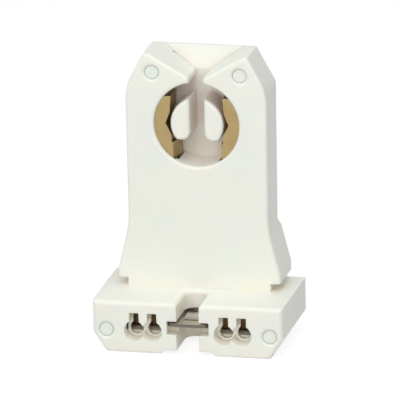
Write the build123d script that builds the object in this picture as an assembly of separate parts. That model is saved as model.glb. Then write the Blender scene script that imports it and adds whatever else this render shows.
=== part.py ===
from build123d import *
import math
import os

# Pedestal lamp holder for a tube with two pins, moulded in two halves around two
# stamped contacts. Millimetres, +Z up. The origin is the middle of the underside of
# the foot and the lamp side faces -Y. A drop is measured down from the top of the body
# or, on the contacts, from the middle of the ring.

# Lamp interface: two pins pass down a slot and turn in a round track about the posts
lamp_pin_spacing = 12.7
lamp_pin_diameter = 2.4
track_width = 3.1
slot_width = 2.8
slot_height = 0.95
post_bottom_cut = 1.95
post_recess = 0.4
post_corner_inner = 1.7
post_corner_outer = 0.9
post_edge_radius = 0.7

# Funnel above the slot
funnel_depth = 4.45
funnel_lip_front = 0.85
funnel_lip_back = 2.5
funnel_tip_radius = 0.7

# Foot
foot_width = 36.8
foot_depth = 20.3
foot_height = 10.0
foot_corner_width = 2.5
foot_corner_height = 3.7
foot_step = 10.5
foot_edge_radius = 0.8
foot_low_edge_radius = 0.4
relief_width = 10.0
relief_height = 0.85
relief_slant = 0.6

# Neck, wings and shaft
neck_width = 27.6
groove_height = 1.5
wing_width = 31.4
wing_tip_height = 1.8
crease_height = 21.9
waist_width = 27.1
waist_radius_front = 24.0
waist_radius_back = 1.0
shaft_width = 27.4
shaft_depth = 8.4
shoulder_drop = 6.65
shoulder_radius_front = 12.0
shoulder_radius_back = 1.0
body_height = 55.85
top_width = 20.1
body_edge_radius = 0.6
step_rise = 1.4

# Walls of the moulding
front_wall = 1.6
foot_front_wall = 1.8
contact_wall = 0.7
side_wall = 1.4
ledge_width = 0.8
cavity_top_drop = 6.45
cover_thickness = 1.4
cover_clearance = 0.06
cover_lip = 0.45
rib_thickness = 1.2
track_floor_angle = 24.0

# Locating pins of the cover, seen as four round ends on the front
pin_diameter = 2.6
pin_clearance = 0.06
pin_recess = 0.32
pin_rim_width = 0.45
upper_pin_inset = 1.55
upper_pin_drop = 3.65
lower_pin_inset = 2.6
lower_pin_height = 4.3
boss_diameter = 4.6

# Mounting notch and its flat nut
notch_width = 4.4
notch_depth = 9.3
pocket_wall = 1.0
nut_width = 7.9
nut_length = 11.9
nut_thickness = 0.6
nut_underside_height = 5.5
nut_side_clearance = 0.1
nut_top_clearance = 0.4
nut_corner = 0.6
nut_window_width = 4.2
nut_window_length = 5.6
nut_thread_radius = 1.75
nut_prong_width = 2.6
nut_prong_rise = 0.7
nut_prong_gap = 1.8
nut_prong_root = 0.3
nut_slit_length = 0.6
nut_slit_place = 2.5
recess_floor_height = 3.9
recess_depth = 2.6

# Push-in wire entries, two on each side of the notch
entry_inset = 1.725
entry_height = 4.2
entry_bore_radius = 1.3
entry_mouth_radius = 1.95
entry_counterbore_radius = 1.85
entry_counterbore_rise = 0.3
entry_counterbore_depth = 2.6
entry_guide_depth = 3.5
release_width = 1.6
release_mouth_width = 1.85
release_top_height = 7.8

# Contacts, one strip each
strip_thickness = 0.4
strip_lap = 0.75
head_inset_top = 0.15
head_outset_detent = 0.1
head_inset_low = 0.45
head_rise = 5.3
head_drop = 8.4
head_corner = 1.5
detent_half_height = 2.2
detent_depth = 0.85
flange_depth = 5.2
ramp_top_drop = 3.7
ramp_bottom_drop = 7.1
ramp_lean = 0.7
ramp_relief = 0.3
neck_lap = 1.0
neck_depth = 3.4
tail_top_rise = 14.0
tail_link_height = 3.0
terminal_notch_gap = 0.175
terminal_boss_gap = 1.375
finger_inset = 0.475
finger_reach = 3.0
finger_tip_height = 3.65
terminal_front_gap = 0.3
anvil_top_height = 3.3
anvil_length = 3.0
contact_clearance = 0.1
clamp_rib_rise = 4.0

# Sizes and places that follow from the ones above
post_radius = (lamp_pin_spacing - lamp_pin_diameter) / 2
ring_radius = post_radius + track_width
shoulder_height = body_height - shoulder_drop
funnel_bottom_height = body_height - funnel_depth
ring_height = funnel_bottom_height - slot_height - ring_radius
funnel_mouth_front = top_width / 2 - funnel_lip_front
funnel_mouth_back = top_width / 2 - funnel_lip_back
foot_front = -foot_depth / 2
foot_back = foot_depth / 2
body_front = foot_front + foot_step
body_back = body_front + shaft_depth
hollow_front = body_front + front_wall
contact_front = body_front + contact_wall
contact_back = contact_front + strip_thickness
cover_front = body_back - cover_thickness
cover_low_front = foot_back - cover_thickness
groove_top = foot_height + groove_height
foot_hollow_front = foot_front + foot_front_wall
entry_guide_back = foot_front + entry_guide_depth
foot_hollow_top = foot_height - side_wall
shaft_hollow_half = shaft_width / 2 - side_wall - ledge_width
notch_middle = foot_front + notch_depth - notch_width / 2
notch_block_width = nut_width + 2 * nut_side_clearance + 2 * pocket_wall
pocket_back = foot_front + nut_length + nut_side_clearance
upper_pin_x = top_width / 2 - upper_pin_inset
lower_pin_x = foot_width / 2 - lower_pin_inset
terminal_inner = notch_block_width / 2 + terminal_notch_gap
terminal_outer = lower_pin_x - boss_diameter / 2 - terminal_boss_gap
terminal_front = entry_guide_back + terminal_front_gap
entry_places = [terminal_inner + entry_inset, terminal_outer - entry_inset]
strip_outer = ring_radius + strip_lap
tail_top = foot_height + tail_top_rise
beyond = 5.0
near = 0.001


def mirrored(points):
    """Close a half outline, given from the middle line out, with its mirror image."""
    return points + [(-x, z) for x, z in reversed(points) if x > 0]


def face_of(points):
    return make_face(Polyline(*points, close=True))


def rectangle(left, right, low, high):
    return face_of([(left, low), (right, low), (right, high), (left, high)])


def front_plane(y):
    """Plane whose face is drawn as (x, z) and looks out of the lamp side."""
    return Plane(origin=(0, y, 0), x_dir=(1, 0, 0), z_dir=(0, -1, 0))


def front_view(face, front, back):
    """Extrude a face drawn as (x, z) from one depth to another."""
    return extrude(front_plane(back) * face, back - front)


def side_view(face, left, right):
    """Extrude a face drawn as (y, z) from one x to another."""
    return extrude(Plane(origin=(left, 0, 0), x_dir=(0, 1, 0), z_dir=(1, 0, 0)) * face, right - left)


def top_view(face, low, high):
    """Extrude a face drawn as (x, y) from one height to another."""
    return extrude(Plane.XY.offset(low) * face, high - low)


def box(left, right, front, back, low, high):
    return top_view(rectangle(left, right, front, back), low, high)


def rod(x, z, diameter, front, back):
    return front_view(Pos(x, z) * Circle(diameter / 2), front, back)


def edges_at(part, y):
    """Edges whose middles lie at one depth."""
    return part.edges().filter_by_position(Axis.Y, y - near, y + near)


def both_sides(solid):
    return [solid, mirror(solid, Plane.YZ)]


def foot_points(relief=True, height=foot_height):
    half = foot_width / 2
    corner = half - foot_corner_width
    middle = [
        (0, relief_height),
        ((relief_width - relief_slant) / 2, relief_height),
        ((relief_width + relief_slant) / 2, 0),
    ]
    outer = [(corner, 0), (half, foot_corner_height), (half, height)]
    return mirrored((middle if relief else []) + outer)


def shoulder_points():
    return [(shaft_width / 2, shoulder_height), (top_width / 2, body_height)]


def body_outline(waist_radius, shoulder_radius):
    """Outline of the body above the foot, with its waist and shoulders rounded."""
    points = mirrored([
        (neck_width / 2, foot_height),
        (neck_width / 2, groove_top),
        (wing_width / 2, groove_top),
        (wing_width / 2, groove_top + wing_tip_height),
        (waist_width / 2, crease_height),
    ] + shoulder_points())
    outline = face_of(points)
    for height, radius in ((crease_height, waist_radius), (shoulder_height, shoulder_radius)):
        corners = [v for v in outline.vertices() if abs(v.Y - height) < near]
        outline = fillet(corners, radius)
    return outline


def back_outline():
    return body_outline(waist_radius_back, shoulder_radius_back)


def body_block():
    """Body above the foot: soft waist and shoulders in front, crisp ones behind, deeper at the flare."""
    sections = [
        front_plane(body_front) * body_outline(waist_radius_front, shoulder_radius_front),
        front_plane(body_back) * back_outline(),
    ]
    tower = loft(sections, ruled=True)
    flare = front_view(back_outline(), body_back, foot_back)
    step = face_of([
        (body_back, foot_height),
        (foot_back, foot_height),
        (foot_back, crease_height - step_rise),
        (body_back, crease_height),
    ])
    return tower + (flare & side_view(step, -foot_width, foot_width))


def notch_cut():
    """Open-ended screw notch, down through the whole foot."""
    half = notch_width / 2
    plan = rectangle(-half, half, foot_front - beyond, notch_middle) + Pos(0, notch_middle) * Circle(half)
    plan = plan & rectangle(-half, half, foot_front - beyond, body_front)
    return top_view(plan, -beyond, foot_height + beyond)


def foot_block():
    """Foot with its notch, softened along its front and round the top of the notch."""
    foot = front_view(face_of(foot_points()), foot_front, foot_back) - notch_cut()
    corner = foot_width / 2 - foot_corner_width
    high = [
        e for e in edges_at(foot, foot_front)
        if e.center().Z > foot_height - near or abs(e.center().X) > corner
    ]
    around_notch = [
        e for e in foot.edges()
        if abs(e.center().Z - foot_height) < near and abs(e.center().X) < notch_width / 2 + near
        and e.center().Y > foot_front + near and e.center().Y < body_front
    ]
    foot = fillet(high + around_notch, foot_edge_radius)
    low = [e for e in edges_at(foot, foot_front) if e.center().Z < near]
    return fillet(low, foot_low_edge_radius)


def cover_outline():
    """Opening of the housing's back, inside its side walls."""
    foot = offset(face_of(foot_points(relief=False)), -side_wall, kind=Kind.INTERSECTION)
    shaft = face_of(mirrored([(waist_width / 2, foot_height / 2)] + shoulder_points()))
    return foot + offset(shaft, -side_wall, kind=Kind.INTERSECTION)


def funnel_outline(mouth):
    """V of the funnel from the top of the slot, carried on past the top of the body."""
    slope = (mouth - slot_width / 2) / funnel_depth
    return face_of(mirrored([
        (slot_width / 2, funnel_bottom_height),
        (mouth + slope * beyond, body_height + beyond),
    ]))


def funnel_cut():
    """Space of the funnel, whose two sides come closer together towards the back."""
    narrowing = (funnel_mouth_front - funnel_mouth_back) / shaft_depth
    faces = []
    for y in (body_front - beyond, foot_back + beyond):
        outline = funnel_outline(funnel_mouth_front - narrowing * (y - body_front))
        faces.append(front_plane(y) * outline)
    return loft(faces, ruled=True)


def cover_plate(outline):
    """Plate of a given outline that closes the back and steps back at the flare."""
    step_front = crease_height - step_rise
    band = face_of([
        (cover_front, body_height + beyond),
        (cover_front, step_front),
        (cover_low_front, step_front - step_rise),
        (cover_low_front, -beyond),
        (foot_back, -beyond),
        (foot_back, step_front),
        (body_back, crease_height),
        (body_back, body_height + beyond),
    ])
    return front_view(outline, cover_front, foot_back) & side_view(band, -foot_width, foot_width)


def cover_seat():
    return cover_plate(cover_outline())


def lamp_track():
    """Round track of the pins with the slot that leads down into it."""
    track = rod(0, ring_height, 2 * ring_radius, body_front - beyond, cover_front)
    half = slot_width / 2
    slot = box(-half, half, body_front - beyond, cover_front, ring_height, funnel_bottom_height)
    return track + slot


def opened_body():
    """Body with its track and funnel cut, softened beside the slot and round every front edge."""
    body = body_block() - lamp_track() - funnel_cut()
    tips = [
        e for e in body.edges()
        if abs(e.center().Z - funnel_bottom_height) < near
        and abs(abs(e.center().X) - slot_width / 2) < near and e.center().Y < cover_front
    ]
    body = fillet(tips, funnel_tip_radius)
    front_edges = [e for e in edges_at(body, body_front) if e.center().Z > groove_top + near]
    return fillet(front_edges, body_edge_radius)


def hollow():
    """Space inside the housing behind its front walls."""
    inner = offset(cover_outline(), -ledge_width, kind=Kind.INTERSECTION)
    whole = front_view(inner, hollow_front, foot_back)
    cavity_top = body_height - cavity_top_drop
    body_part = whole & box(-foot_width, foot_width, hollow_front, foot_back, 0, cavity_top)
    tall_foot = face_of(foot_points(relief=False, height=foot_height + beyond))
    foot_inner = offset(tall_foot, -side_wall - ledge_width, kind=Kind.INTERSECTION)
    foot_part = front_view(foot_inner, foot_hollow_front, foot_back)
    foot_part = foot_part & box(-foot_width, foot_width, foot_hollow_front, foot_back, 0, foot_hollow_top)
    return body_part + foot_part


def contact_seat():
    """Recess of one side behind the front wall, as wide as the contact's head moves."""
    inner = post_radius - 2 * head_inset_low
    low = ring_height - head_drop - contact_clearance
    high = ring_height + head_rise + contact_clearance
    head = box(inner, shaft_hollow_half, contact_front, hollow_front, low, high)
    tail = box(terminal_inner - contact_clearance, strip_outer + contact_clearance, contact_front,
               hollow_front, foot_hollow_top, tail_top + contact_clearance)
    link = box(inner, strip_outer + contact_clearance, contact_front, hollow_front,
               tail_top - tail_link_height - contact_clearance, tail_top + contact_clearance)
    return [head, tail, link]


def track_floor():
    """Curved ledge under the posts, between the two contacts."""
    outer = Circle(ring_radius + rib_thickness) - Circle(ring_radius)
    half_width = (ring_radius + rib_thickness) * math.sin(math.radians(track_floor_angle))
    window = rectangle(-half_width, half_width, -ring_radius - beyond, 0)
    arc = Pos(0, ring_height) * (outer & window)
    return front_view(arc, hollow_front, cover_front)


def wire_entry(x):
    """Wire hole with a stepped mouth, a lead-in below and a release slot above."""
    start = foot_front - 0.5
    past_wall = entry_guide_back + 0.1
    step = foot_front + entry_counterbore_depth
    bore = rod(x, entry_height, 2 * entry_bore_radius, start, past_wall)
    counterbore = rod(x, entry_height + entry_counterbore_rise, 2 * entry_counterbore_radius, start, step)
    mouth = Plane(origin=(x, foot_front, entry_height), z_dir=(0, 1, 0))
    lead_in = loft([
        mouth * Circle(entry_mouth_radius),
        mouth.offset(entry_counterbore_depth) * Circle(entry_bore_radius),
    ])
    half = release_width / 2
    mouth_half = release_mouth_width / 2
    slot = box(x - half, x + half, start, past_wall, entry_height, release_top_height)
    slot_mouth = box(x - mouth_half, x + mouth_half, start, step, entry_height, release_top_height)
    return [bore, counterbore, lead_in, slot, slot_mouth]


def wire_guide():
    """Block behind the foot's front that carries the two wire bores of one side."""
    return box(notch_block_width / 2 - pocket_wall, terminal_outer, foot_front + foot_front_wall / 2,
               entry_guide_back, side_wall / 2, foot_hollow_top)


def notch_block():
    """Walls round the mounting notch and the nut pocket, inside the foot."""
    half = notch_block_width / 2
    return box(-half, half, foot_front + foot_front_wall / 2, pocket_back + pocket_wall,
               relief_height, foot_hollow_top)


def nut_pocket():
    """Flat pocket for the nut, with a lower recess at its mouth."""
    half = nut_width / 2 + nut_side_clearance
    top = nut_underside_height + nut_thickness + nut_top_clearance
    seat = box(-half, half, foot_front - beyond, pocket_back, nut_underside_height, top)
    recess = box(-half, half, foot_front - beyond, foot_front + recess_depth, recess_floor_height, top)
    return seat + recess


def pin_places():
    """Middle, front end and root of each locating pin, on the right-hand side."""
    return [
        (upper_pin_x, body_height - upper_pin_drop, body_front, cover_front),
        (lower_pin_x, lower_pin_height, foot_front, cover_low_front),
    ]


def pin_hole(x, z, front, root):
    """Hole for a locating pin, with a sloping rim down to the pin's end."""
    radius = pin_diameter / 2 + pin_clearance
    rim = front_plane(front + pin_recess) * (Pos(x, z) * Circle(radius))
    wide = front_plane(front - pin_recess) * (Pos(x, z) * Circle(radius + 2 * pin_rim_width))
    return [rod(x, z, 2 * radius, front, root), loft([rim, wide])]


def wire_anvil():
    """Ledge that holds the wires up against the sprung fingers."""
    return box(terminal_inner, terminal_outer, terminal_front, terminal_front + anvil_length,
               side_wall, anvil_top_height)


def front_housing():
    """Front half: face, side walls, wings and foot in one moulding."""
    part = foot_block() + opened_body() - hollow()
    part += notch_block()
    part += both_sides(wire_guide())
    part += both_sides(wire_anvil())
    lower_x, lower_z, lower_front, lower_root = pin_places()[1]
    part += both_sides(rod(lower_x, lower_z, boss_diameter, lower_front + foot_front_wall / 2, lower_root))
    part -= cover_seat()
    part += track_floor()
    part -= notch_cut()
    part -= nut_pocket()
    for cut in contact_seat():
        part -= both_sides(cut)
    for place in pin_places():
        for cut in pin_hole(*place):
            part -= both_sides(cut)
    for x in entry_places:
        for cut in wire_entry(x):
            part -= both_sides(cut)
    return part


def post():
    """Right-hand half-round post that the lamp pins turn around."""
    half = slot_width / 2
    low = post_bottom_cut - post_radius
    bottom_width = math.sqrt(post_radius ** 2 - low ** 2) - half
    inner_radius = min(post_corner_inner, bottom_width - post_corner_outer - 0.2)
    window = rectangle(half, post_radius + 1, low, post_radius + 1)
    face = Circle(post_radius) & window
    face = fillet(face.vertices().filter_by_position(Axis.Y, low - near, low + near).sort_by(Axis.X)[0],
                  inner_radius)
    face = fillet(face.vertices().filter_by_position(Axis.Y, low - near, low + near).sort_by(Axis.X)[-1],
                  post_corner_outer)
    front = body_front + post_recess
    solid = front_view(Pos(0, ring_height) * face, front, cover_front + cover_thickness / 2)
    return fillet(edges_at(solid, front), post_edge_radius)


def funnel_wedge(top):
    """Space in front of the sloping back of the funnel, seen from the side."""
    return face_of([
        (cover_front - beyond, funnel_bottom_height),
        (cover_front, funnel_bottom_height),
        (body_back - cover_lip, body_height),
        (body_back - cover_lip, top),
        (cover_front - beyond, top),
    ])


def cover_tongue():
    """Upper middle of the cover, whose sloping face is the back of the funnel."""
    slab = box(-foot_width, foot_width, cover_front, body_back, funnel_bottom_height, body_height)
    wedge = side_view(funnel_wedge(body_height + beyond), -foot_width, foot_width)
    return (slab & funnel_cut()) - wedge


def front_slope():
    """Shaves the plate behind the funnel so that it slopes with the tongue."""
    return side_view(funnel_wedge(body_height + beyond), -funnel_mouth_back, funnel_mouth_back)


def clamp_rib():
    """Rib that presses the contact's tail against the front wall."""
    middle = (terminal_inner + strip_outer) / 2
    half = rib_thickness / 2
    return box(middle - half, middle + half, contact_back, body_back - cover_thickness / 2,
               foot_height + clamp_rib_rise, tail_top - contact_clearance)


def rear_cover():
    """Back half: plate, posts, funnel back and locating pins in one moulding."""
    outline = offset(cover_outline(), -cover_clearance, kind=Kind.INTERSECTION)
    part = cover_plate(outline)
    part -= front_slope()
    part += cover_tongue()
    part += both_sides(post())
    part += both_sides(clamp_rib())
    for place in pin_places():
        x, z, front, root = place
        part += both_sides(rod(x, z, pin_diameter, front + pin_recess, root))
    return part


def head_path():
    """Inner edge of the contact's head, from the top down, with its detent for a pin."""
    at_detent = post_radius + head_outset_detent
    return [
        (post_radius - head_inset_top, ring_height + head_rise),
        (at_detent, ring_height + detent_half_height),
        (at_detent + detent_depth, ring_height),
        (post_radius - head_inset_top, ring_height - detent_half_height),
        (post_radius - head_inset_low, ring_height - head_drop),
    ]


def contact_head():
    """Head of the right-hand contact: front leaf and the sprung flange behind its inner edge."""
    path = head_path()
    top = ring_height + head_rise
    leaf_points = path + [
        (strip_outer, ring_height - head_drop),
        (strip_outer, top - head_corner),
        (strip_outer - head_corner, top),
    ]
    leaf = front_view(face_of(leaf_points), contact_front, contact_back)
    band = face_of(path + [(x + strip_thickness, z) for x, z in reversed(path)])
    relief = rectangle(0, strip_outer, ring_height - ramp_bottom_drop - ramp_relief,
                       ring_height - ramp_top_drop + ramp_relief)
    flange = front_view(band - relief, contact_front, contact_front + flange_depth)
    return leaf + flange


def contact_ramp():
    """Part of the flange below the post, cut free above and below and leaning in to the pin."""
    low = ring_height - ramp_bottom_drop
    high = ring_height - ramp_top_drop
    root = post_radius - head_inset_low
    back = contact_front + flange_depth
    plan = face_of([
        (root, contact_front),
        (root + strip_thickness, contact_front),
        (root + strip_thickness - ramp_lean, back),
        (root - ramp_lean, back),
    ])
    return top_view(plan, low, high)


def contact_neck():
    """Thin sprung neck, edge on to the front, from the tail up to the head."""
    inner = post_radius - head_inset_low
    low = tail_top - tail_link_height
    front = hollow_front + contact_clearance
    high = ring_height - head_drop + neck_lap
    neck = box(inner, inner + strip_thickness, front, front + neck_depth, low, high)
    root = box(inner, inner + strip_thickness, contact_front, front + neck_depth, low, tail_top)
    return neck + root


def contact_tail():
    """Tail down to the foot, turned forward under its top to the terminal."""
    top = foot_hollow_top
    tail = box(terminal_inner, strip_outer, contact_front, contact_back, top - strip_thickness, tail_top)
    link = box(post_radius - head_inset_low, strip_outer, contact_front, contact_back,
               tail_top - tail_link_height, tail_top)
    plate = box(terminal_inner, terminal_outer, terminal_front, contact_back, top - strip_thickness, top)
    return tail + link + plate


def terminal_fingers():
    """Two sprung fingers that bite the wires pushed in below them."""
    top = foot_hollow_top
    tip = terminal_front + finger_reach
    lean = math.hypot(finger_reach, top - finger_tip_height)
    across = strip_thickness * lean / (top - finger_tip_height)
    profile = face_of([
        (terminal_front, top),
        (terminal_front, top - strip_thickness),
        (tip - across, finger_tip_height),
        (tip, finger_tip_height),
        (terminal_front + across, top - strip_thickness / 2),
        (terminal_front + across, top),
    ])
    half = entry_inset - finger_inset
    return [side_view(profile, x - half, x + half) for x in entry_places]


def contact_right():
    return contact_head() + contact_ramp() + contact_neck() + contact_tail() + terminal_fingers()


def nut_prong(sign):
    """Prong raised from the edge of the nut's window towards the screw."""
    root = notch_middle + sign * nut_window_length / 2
    tip = notch_middle + sign * nut_prong_gap / 2
    low = nut_underside_height
    profile = face_of([
        (root + sign * nut_prong_root, low),
        (root + sign * nut_prong_root, low + nut_thickness),
        (root, low + nut_thickness),
        (tip, low + nut_thickness + nut_prong_rise),
        (tip, low + nut_prong_rise),
        (root, low),
    ])
    return side_view(profile, -nut_prong_width / 2, nut_prong_width / 2)


def speed_nut():
    """Flat spring-steel nut that lies across the notch in its pocket."""
    plan = Pos(0, foot_front + nut_length / 2) * Rectangle(nut_width, nut_length)
    plan = chamfer(plan.vertices(), nut_corner)
    part = top_view(plan, nut_underside_height, nut_underside_height + nut_thickness)
    window_half = nut_window_width / 2
    part -= box(-window_half, window_half, notch_middle - nut_window_length / 2,
                notch_middle + nut_window_length / 2, 0, foot_height)
    slit_front = foot_front + nut_slit_place
    part -= box(-nut_prong_width / 2, nut_prong_width / 2, slit_front, slit_front + nut_slit_length,
                0, foot_height)
    part += [nut_prong(-1), nut_prong(1)]
    part -= Pos(0, notch_middle) * Cylinder(nut_thread_radius, 4 * foot_height)
    return part


def save(name, part):
    export_step(part, os.path.join("parts", name + ".step"))


os.makedirs("parts", exist_ok=True)
right_contact = contact_right()
save("front_housing", front_housing())
save("rear_cover", rear_cover())
save("contact_right", right_contact)
save("contact_left", mirror(right_contact, Plane.YZ))
save("speed_nut", speed_nut())
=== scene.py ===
import math

import bpy
from mathutils import Matrix, Vector

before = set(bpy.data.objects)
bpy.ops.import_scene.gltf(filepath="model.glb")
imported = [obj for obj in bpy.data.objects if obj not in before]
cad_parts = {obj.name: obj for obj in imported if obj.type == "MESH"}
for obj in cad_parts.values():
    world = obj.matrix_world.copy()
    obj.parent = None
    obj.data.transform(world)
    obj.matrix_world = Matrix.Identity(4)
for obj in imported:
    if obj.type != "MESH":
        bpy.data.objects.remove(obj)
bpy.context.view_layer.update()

# Camera: the photograph's angle, far off with a long lens, as its straight edges show
CAMERA_AZIMUTH = math.radians(13.20)
CAMERA_ELEVATION = math.radians(17.28)
CAMERA_ROLL = math.radians(-1.19)
CAMERA_DISTANCE = 2.155
CAMERA_LENS = 1026.0
CAMERA_SENSOR = 36.0
CAMERA_CLIP = (0.1, 20.0)
AIM_POINT = Vector((0.0, 0.00035, 0.028))
IMAGE_WIDTH = 400
AIM_PIXEL = (197.5, 197.4)
METRES_PER_PIXEL = 0.001 / 5.289

# Soft boxes: name, direction from the aim point, level of light and colour
WARM_LIGHT = (1.0, 0.99, 0.955)
COOL_LIGHT = (0.965, 0.985, 1.0)
SOFT_BOX_DISTANCE = 0.5
SOFT_BOX_SIZE = 0.30
SOFT_BOXES = (
    ("key", (-0.22, -0.78, 0.6), 0.28, WARM_LIGHT),
    ("front fill", (0.218, -0.93, 0.297), 0.18, WARM_LIGHT),
    ("top", (0.15, -0.15, 1.0), 0.262, COOL_LIGHT),
)

# Surroundings: pale to the object, white to the eye
FILL_STRENGTH = 0.39
BACKGROUND_WHITE = (1, 1, 1, 1)
FLOOR_SIZE = 6.0
FLOOR_DROP = 0.00005
FLOOR_TONE = (0.74, 0.74, 0.74, 1)
FLOOR_SHADE_TONE = (0.30, 0.30, 0.30, 1)
FLOOR_GLOW = 0.82

# Moulded plastic: two close tones that drift over a few millimetres, and painted warm shade in
# hollows
SHELL_TONES = ((0.94, 0.958, 0.86, 1), (0.962, 0.955, 0.872, 1))
COVER_TONES = ((0.93, 0.942, 0.86, 1), (0.945, 0.937, 0.87, 1))
# Painted shade: hollows of the shell and the cover are tinted towards these warm, darker tones
SHELL_PAINTED_SHADE_TONE = (1.0, 0.93, 0.905, 1)
COVER_PAINTED_SHADE_TONE = (0.77, 0.66, 0.665, 1)
PAINTED_SHADE_REACH = 0.006
PAINTED_SHADE_OPENNESS = (0.15, 0.8)
DRIFT_SIZE = 0.009
TONE_DRIFT = (0.35, 0.65)
GLOSS_DRIFT = (0.3, 0.7)
SKIN_ROUNDING = 0.00015
SKIN_ROUGHNESS = (0.38, 0.50)
GRAIN_SIZE = 0.00022
GRAIN_STRENGTH = 0.6
SHELL_GRAIN_DEPTH = 0.000006
COVER_GRAIN_DEPTH = 0.000004
SCATTER_RADIUS = (1.0, 0.55, 0.38)
SCATTER_SCALE = 0.0012
SCATTER_WEIGHT = 0.35

# Rolled metal: streaks along the rolling direction, and stains
STREAK_SIZE = 0.00012
STREAK_DEPTH = 0.000004
STREAK_STRENGTH = 0.5
STREAK_TARNISH = 0.25
STREAK_SPREAD = (0.3, 0.7)
STAIN_SIZE = 0.0035
STAIN_AMOUNT = 0.5
STAIN_SPREAD = (0.38, 0.68)
METAL_ROUGHNESS = (0.32, 0.55)

# Brass strip of the contacts, rolled along its height
BRASS = (0.435, 0.328, 0.161, 1)
BRASS_TARNISH = (0.36, 0.255, 0.11, 1)
# Painted highlight: the edges of the brass are tinted to this brighter tone
BRASS_PAINTED_HIGHLIGHT = (0.62, 0.50, 0.27, 1)
BRASS_STRETCH = (1.0, 1.0, 0.06)
BRASS_ROUNDING = 0.00006
BRASS_HIGHLIGHT_GAIN = 4.0

# Spring steel of the flat nut, rolled along its depth
STEEL = (0.57, 0.52, 0.46, 1)
STEEL_TARNISH = (0.34, 0.30, 0.25, 1)
# Upright faces of the nut take this dark tone: partly the cut faces' own tone, partly painted
# shade
STEEL_CUT_FACE_AND_SHADE = (0.17, 0.155, 0.13, 1)
STEEL_STRETCH = (1.0, 0.06, 1.0)
STEEL_ROUNDING = 0.00005
UPRIGHT_FACE_SHADE_TILT = (0.2, 0.5)

# Shader settings that every finish shares
NOISE_ROUGHNESS = 0.55
EDGE_GAIN = 6.0
EDGE_SAMPLES = 6
PAINTED_SHADE_SAMPLES = 8
RISING = (0.0, 1.0)
FALLING = (1.0, 0.0)

# Places of a Mix node's colour sockets
MIX_COLOUR_INPUTS = (0, 6, 7)
MIX_COLOUR_OUTPUT = 2


# Helpers for node trees

def set_inputs(node, values):
    for key, value in values.items():
        node.inputs[key].default_value = value
    return node


def add(tree, kind, values=None, **settings):
    """Adds a node with its settings and the values of its unlinked inputs."""
    node = tree.nodes.new(kind)
    for key, value in settings.items():
        setattr(node, key, value)
    return set_inputs(node, values or {})


def new_material(name):
    material = bpy.data.materials.new(name)
    material.use_nodes = True
    tree = material.node_tree
    tree.nodes.clear()
    return material, tree


def new_group(name, inputs, outputs):
    """Starts a node group with inputs (name, kind, default) and outputs (name, kind)."""
    tree = bpy.data.node_groups.new(name, "ShaderNodeTree")
    for label, kind, default in inputs:
        socket = tree.interface.new_socket(
            name=label, in_out="INPUT", socket_type="NodeSocket" + kind)
        socket.default_value = default
    for label, kind in outputs:
        tree.interface.new_socket(
            name=label, in_out="OUTPUT", socket_type="NodeSocket" + kind)
    given = tree.nodes.new("NodeGroupInput").outputs
    result = tree.nodes.new("NodeGroupOutput").inputs
    return tree, given, result


def place_group(tree, group, values):
    return set_inputs(add(tree, "ShaderNodeGroup", node_tree=group), values)


def object_noise(tree, size, detail, stretch=None):
    """Noise on object coordinates whose blotches are about the given size in metres."""
    place = add(tree, "ShaderNodeTexCoord").outputs["Object"]
    if stretch is not None:
        scaled = add(tree, "ShaderNodeVectorMath", operation="MULTIPLY")
        tree.links.new(place, scaled.inputs[0])
        tree.links.new(stretch, scaled.inputs[1])
        place = scaled.outputs[0]
    frequency = add(tree, "ShaderNodeMath", {0: 1.0}, operation="DIVIDE")
    tree.links.new(size, frequency.inputs[1])
    noise = add(tree, "ShaderNodeTexNoise", {"Detail": detail, "Roughness": NOISE_ROUGHNESS})
    tree.links.new(place, noise.inputs["Vector"])
    tree.links.new(frequency.outputs[0], noise.inputs["Scale"])
    return noise.outputs["Fac"]


def remap(tree, value, given_range, new_range):
    node = add(tree, "ShaderNodeMapRange", {
        "From Min": given_range[0],
        "From Max": given_range[1],
        "To Min": new_range[0],
        "To Max": new_range[1],
    })
    tree.links.new(value, node.inputs["Value"])
    return node.outputs[0]


def blend_colours(tree, factor, first, second, mode="MIX"):
    """Mixes two colours by a factor, each of them a socket."""
    node = add(tree, "ShaderNodeMix", data_type="RGBA", blend_type=mode)
    for place, source in zip(MIX_COLOUR_INPUTS, (factor, first, second)):
        tree.links.new(source, node.inputs[place])
    return node.outputs[MIX_COLOUR_OUTPUT]


def add_relief(tree, height, depth, normal, strength):
    """Raises a surface by a pattern's height, over the normal that it has."""
    relief = add(tree, "ShaderNodeBump", {"Strength": strength})
    tree.links.new(height, relief.inputs["Height"])
    tree.links.new(depth, relief.inputs["Distance"])
    tree.links.new(normal, relief.inputs["Normal"])
    return relief.outputs[0]


# Effects that the finishes share

def build_soft_edges():
    """Rounds every edge a little, and masks where an edge is."""
    tree, given, result = new_group(
        "soft edges",
        [("Width", "Float", SKIN_ROUNDING), ("Gain", "Float", EDGE_GAIN)],
        [("Normal", "Vector"), ("Edge", "Float")],
    )
    rounded = add(tree, "ShaderNodeBevel", samples=EDGE_SAMPLES)
    tree.links.new(given["Width"], rounded.inputs["Radius"])
    flat = add(tree, "ShaderNodeNewGeometry")
    turn = add(tree, "ShaderNodeVectorMath", operation="DOT_PRODUCT")
    tree.links.new(rounded.outputs[0], turn.inputs[0])
    tree.links.new(flat.outputs["Normal"], turn.inputs[1])
    away = add(tree, "ShaderNodeMath", {0: 1.0}, operation="SUBTRACT")
    tree.links.new(turn.outputs["Value"], away.inputs[1])
    gained = add(tree, "ShaderNodeMath", operation="MULTIPLY", use_clamp=True)
    tree.links.new(away.outputs[0], gained.inputs[0])
    tree.links.new(given["Gain"], gained.inputs[1])
    tree.links.new(rounded.outputs[0], result["Normal"])
    tree.links.new(gained.outputs[0], result["Edge"])
    return tree


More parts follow.
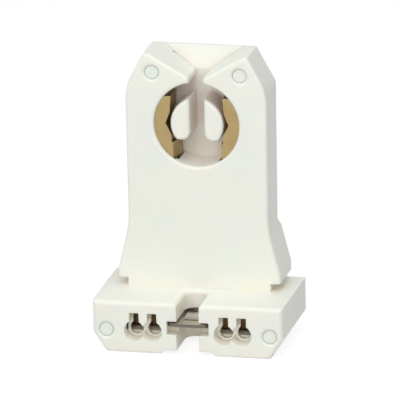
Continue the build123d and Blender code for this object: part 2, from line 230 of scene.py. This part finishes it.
def build_moulded_skin():
    """Colour, gloss and fine grain of a satin moulding, with painted warm shade in its
    hollows.
    """
    tree, given, result = new_group(
        "moulded skin",
        [
            ("Tone", "Color", SHELL_TONES[0]),
            ("Second Tone", "Color", SHELL_TONES[1]),
            ("Painted Shade Tone", "Color", SHELL_PAINTED_SHADE_TONE),
            ("Painted Shade Reach", "Float", PAINTED_SHADE_REACH),
            ("Drift Size", "Float", DRIFT_SIZE),
            ("Grain Size", "Float", GRAIN_SIZE),
            ("Grain Depth", "Float", SHELL_GRAIN_DEPTH),
            ("Normal", "Vector", (0, 0, 0)),
        ],
        [("Color", "Color"), ("Roughness", "Float"), ("Normal", "Vector")],
    )
    drift = object_noise(tree, given["Drift Size"], detail=3.0)
    tone_share = remap(tree, drift, TONE_DRIFT, RISING)
    tone = blend_colours(tree, tone_share, given["Tone"], given["Second Tone"])
    # Painted shade: where the surroundings close in, the tone is multiplied by the darker warm
    # tone
    openness = add(tree, "ShaderNodeAmbientOcclusion", samples=PAINTED_SHADE_SAMPLES)
    tree.links.new(given["Painted Shade Reach"], openness.inputs["Distance"])
    painted_shade_mask = remap(tree, openness.outputs["AO"], PAINTED_SHADE_OPENNESS, FALLING)
    tone_with_painted_shade = blend_colours(tree, painted_shade_mask, tone, given["Painted Shade Tone"], mode="MULTIPLY")
    tree.links.new(tone_with_painted_shade, result["Color"])
    tree.links.new(remap(tree, drift, GLOSS_DRIFT, SKIN_ROUGHNESS), result["Roughness"])
    grain = object_noise(tree, given["Grain Size"], detail=2.0)
    relief = add_relief(tree, grain, given["Grain Depth"], given["Normal"], GRAIN_STRENGTH)
    tree.links.new(relief, result["Normal"])
    return tree


def build_rolled_metal():
    """Rolling streaks, light tarnish, and an edge tone on stamped strip: painted highlight on
    brass, and on steel the cut-face tone with painted shade.
    """
    tree, given, result = new_group(
        "rolled metal",
        [
            ("Metal", "Color", BRASS),
            ("Tarnish", "Color", BRASS_TARNISH),
            ("Edge Tone And Painted Light", "Color", BRASS_PAINTED_HIGHLIGHT),
            ("Edge", "Float", 0.0),
            ("Stretch", "Vector", BRASS_STRETCH),
            ("Streak Size", "Float", STREAK_SIZE),
            ("Stain Size", "Float", STAIN_SIZE),
            ("Stain Amount", "Float", STAIN_AMOUNT),
            ("Streak Depth", "Float", STREAK_DEPTH),
            ("Normal", "Vector", (0, 0, 0)),
        ],
        [("Color", "Color"), ("Roughness", "Float"), ("Normal", "Vector")],
    )
    streaks = object_noise(tree, given["Streak Size"], detail=3.0, stretch=given["Stretch"])
    stains = object_noise(tree, given["Stain Size"], detail=4.0)
    stained = add(tree, "ShaderNodeMath", operation="MULTIPLY", use_clamp=True)
    tree.links.new(remap(tree, stains, STAIN_SPREAD, RISING), stained.inputs[0])
    tree.links.new(given["Stain Amount"], stained.inputs[1])
    streaked = add(tree, "ShaderNodeMath", {1: STREAK_TARNISH},
                   operation="MULTIPLY_ADD", use_clamp=True)
    tree.links.new(remap(tree, streaks, STREAK_SPREAD, RISING), streaked.inputs[0])
    tree.links.new(stained.outputs[0], streaked.inputs[2])
    dullness = streaked.outputs[0]
    body = blend_colours(tree, dullness, given["Metal"], given["Tarnish"])
    # Painted light: masked places take the edge tone, a painted highlight on brass and painted
    # shade with cut-face tone on steel
    edge_tone_and_painted_light = blend_colours(tree, given["Edge"], body, given["Edge Tone And Painted Light"])
    tree.links.new(edge_tone_and_painted_light, result["Color"])
    tree.links.new(remap(tree, dullness, RISING, METAL_ROUGHNESS), result["Roughness"])
    relief = add_relief(tree, streaks, given["Streak Depth"], given["Normal"], STREAK_STRENGTH)
    tree.links.new(relief, result["Normal"])
    return tree


soft_edges = build_soft_edges()
moulded_skin = build_moulded_skin()
rolled_metal = build_rolled_metal()


# Finishes

def finish_material(tree, finish, settings):
    """Ends a material with its shader, fed by the finish's colour, gloss and relief."""
    shader = add(tree, "ShaderNodeBsdfPrincipled", settings)
    tree.links.new(finish["Color"], shader.inputs["Base Color"])
    tree.links.new(finish["Roughness"], shader.inputs["Roughness"])
    tree.links.new(finish["Normal"], shader.inputs["Normal"])
    out = add(tree, "ShaderNodeOutputMaterial")
    tree.links.new(shader.outputs[0], out.inputs["Surface"])


def moulded_plastic(name, tones, painted_shade_tone, grain_depth):
    """Satin white moulding that lets a little light through its skin."""
    material, tree = new_material(name)
    edges = place_group(tree, soft_edges, {"Width": SKIN_ROUNDING})
    skin = place_group(tree, moulded_skin, {
        "Tone": tones[0],
        "Second Tone": tones[1],
        "Painted Shade Tone": painted_shade_tone,
        "Grain Depth": grain_depth,
    })
    tree.links.new(edges.outputs["Normal"], skin.inputs["Normal"])
    finish_material(tree, skin.outputs, {
        "Subsurface Weight": SCATTER_WEIGHT,
        "Subsurface Radius": SCATTER_RADIUS,
        "Subsurface Scale": SCATTER_SCALE,
    })
    return material


def brass_strip():
    """Lightly tarnished strip with a painted highlight along its edges."""
    material, tree = new_material("brass strip")
    edges = place_group(tree, soft_edges, {"Width": BRASS_ROUNDING, "Gain": BRASS_HIGHLIGHT_GAIN})
    strip = place_group(tree, rolled_metal, {})
    tree.links.new(edges.outputs["Normal"], strip.inputs["Normal"])
    tree.links.new(edges.outputs["Edge"], strip.inputs["Edge"])
    finish_material(tree, strip.outputs, {"Metallic": 1.0})
    return material


def spring_steel():
    """Dull steel sheet whose upright faces are darker than its flat ones: the cut faces' own
    tone, with painted shade.
    """
    material, tree = new_material("spring steel")
    edges = place_group(tree, soft_edges, {"Width": STEEL_ROUNDING})
    sheet = place_group(tree, rolled_metal, {
        "Metal": STEEL,
        "Tarnish": STEEL_TARNISH,
        "Edge Tone And Painted Light": STEEL_CUT_FACE_AND_SHADE,
        "Stretch": STEEL_STRETCH,
    })
    # Upright faces are painted darker by their direction: cut-face tone together with painted
    # shade
    facing = add(tree, "ShaderNodeNewGeometry")
    split = add(tree, "ShaderNodeSeparateXYZ")
    tree.links.new(facing.outputs["True Normal"], split.inputs[0])
    upward = add(tree, "ShaderNodeMath", operation="ABSOLUTE")
    tree.links.new(split.outputs["Z"], upward.inputs[0])
    cut_face_and_shade = remap(tree, upward.outputs[0], UPRIGHT_FACE_SHADE_TILT, FALLING)
    tree.links.new(cut_face_and_shade, sheet.inputs["Edge"])
    tree.links.new(edges.outputs["Normal"], sheet.inputs["Normal"])
    finish_material(tree, sheet.outputs, {"Metallic": 1.0})
    return material


def dress(node_name, material):
    """Gives a CAD node its finished material in every slot."""
    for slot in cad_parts[node_name].material_slots:
        slot.material = material


brass = brass_strip()
dress("front_housing", moulded_plastic(
    "moulded white", SHELL_TONES, SHELL_PAINTED_SHADE_TONE, SHELL_GRAIN_DEPTH))
dress("rear_cover", moulded_plastic(
    "cover white", COVER_TONES, COVER_PAINTED_SHADE_TONE, COVER_GRAIN_DEPTH))
dress("contact_left", brass)
dress("contact_right", brass)
dress("speed_nut", spring_steel())


# Floor, world, lamps and camera

def background_rays(tree):
    """Value 1 for the rays that show the background: straight, mirrored or through glass."""
    path = add(tree, "ShaderNodeLightPath")
    straight = add(tree, "ShaderNodeMath", operation="MAXIMUM")
    tree.links.new(path.outputs["Is Camera Ray"], straight.inputs[0])
    tree.links.new(path.outputs["Is Glossy Ray"], straight.inputs[1])
    through = add(tree, "ShaderNodeMath", operation="MAXIMUM")
    tree.links.new(straight.outputs[0], through.inputs[0])
    tree.links.new(path.outputs["Is Transmission Ray"], through.inputs[1])
    return through.outputs[0]


def show_by_ray(tree, lighting, seen, output_kind):
    """Ends a tree with one shader that lights the object and one that is seen."""
    mix = add(tree, "ShaderNodeMixShader")
    tree.links.new(background_rays(tree), mix.inputs["Fac"])
    tree.links.new(lighting.outputs[0], mix.inputs[1])
    tree.links.new(seen.outputs[0], mix.inputs[2])
    out = add(tree, output_kind)
    tree.links.new(mix.outputs[0], out.inputs["Surface"])


def build_floor():
    """Pale floor a hair below the foot, seen as white with the object's shadow."""
    bpy.ops.object.select_all(action="DESELECT")
    bpy.ops.mesh.primitive_plane_add(size=FLOOR_SIZE, location=(0, 0, -FLOOR_DROP))
    floor = bpy.context.object
    floor.name = "floor"
    material, tree = new_material("pale floor")
    plain = add(tree, "ShaderNodeBsdfDiffuse", {"Color": FLOOR_TONE})
    shade = add(tree, "ShaderNodeBsdfDiffuse", {"Color": FLOOR_SHADE_TONE})
    glow = add(tree, "ShaderNodeEmission", {"Strength": FLOOR_GLOW})
    both = add(tree, "ShaderNodeAddShader")
    tree.links.new(shade.outputs[0], both.inputs[0])
    tree.links.new(glow.outputs[0], both.inputs[1])
    show_by_ray(tree, plain, both, "ShaderNodeOutputMaterial")
    floor.data.materials.append(material)


def build_world():
    """White background whose light on the object is a soft, even fill."""
    world = bpy.data.worlds.new("studio")
    bpy.context.scene.world = world
    world.use_nodes = True
    tree = world.node_tree
    tree.nodes.clear()
    fill = add(tree, "ShaderNodeBackground",
               {"Color": (*COOL_LIGHT, 1), "Strength": FILL_STRENGTH})
    white = add(tree, "ShaderNodeBackground", {"Color": BACKGROUND_WHITE})
    show_by_ray(tree, fill, white, "ShaderNodeOutputWorld")


def add_soft_box(name, direction, level, colour):
    """Square soft box that gives a surface facing it the stated level of light."""
    data = bpy.data.lights.new(name, "AREA")
    data.size = SOFT_BOX_SIZE
    data.color = colour
    data.energy = level * math.pi ** 2 * SOFT_BOX_DISTANCE ** 2
    lamp = bpy.data.objects.new(name, data)
    bpy.context.collection.objects.link(lamp)
    way = Vector(direction).normalized()
    lamp.location = AIM_POINT + way * SOFT_BOX_DISTANCE
    lamp.rotation_mode = "QUATERNION"
    lamp.rotation_quaternion = way.to_track_quat("Z", "Y")
    lamp.visible_camera = False


def build_camera():
    """Camera at the photograph's angle, with the aim point on its pixel of the frame."""
    data = bpy.data.cameras.new("photo camera")
    data.lens = CAMERA_LENS
    data.sensor_width = CAMERA_SENSOR
    data.clip_start, data.clip_end = CAMERA_CLIP
    camera = bpy.data.objects.new("photo camera", data)
    bpy.context.collection.objects.link(camera)
    a, e = CAMERA_AZIMUTH, CAMERA_ELEVATION
    back = Vector((math.sin(a) * math.cos(e), -math.cos(a) * math.cos(e), math.sin(e)))
    right = Vector((math.cos(a), math.sin(a), 0))
    up = back.cross(right)
    turned_right = right * math.cos(CAMERA_ROLL) + up * math.sin(CAMERA_ROLL)
    turned_up = up * math.cos(CAMERA_ROLL) - right * math.sin(CAMERA_ROLL)
    across = (IMAGE_WIDTH / 2 - AIM_PIXEL[0]) * METRES_PER_PIXEL
    down = (IMAGE_WIDTH / 2 - AIM_PIXEL[1]) * METRES_PER_PIXEL
    middle = AIM_POINT + turned_right * across - turned_up * down
    place = Matrix((turned_right, turned_up, back)).transposed().to_4x4()
    place.translation = middle + back * CAMERA_DISTANCE
    camera.matrix_world = place
    bpy.context.scene.camera = camera


build_floor()
build_world()
for soft_box in SOFT_BOXES:
    add_soft_box(*soft_box)
build_camera()
bpy.context.scene.view_settings.view_transform = "Standard"
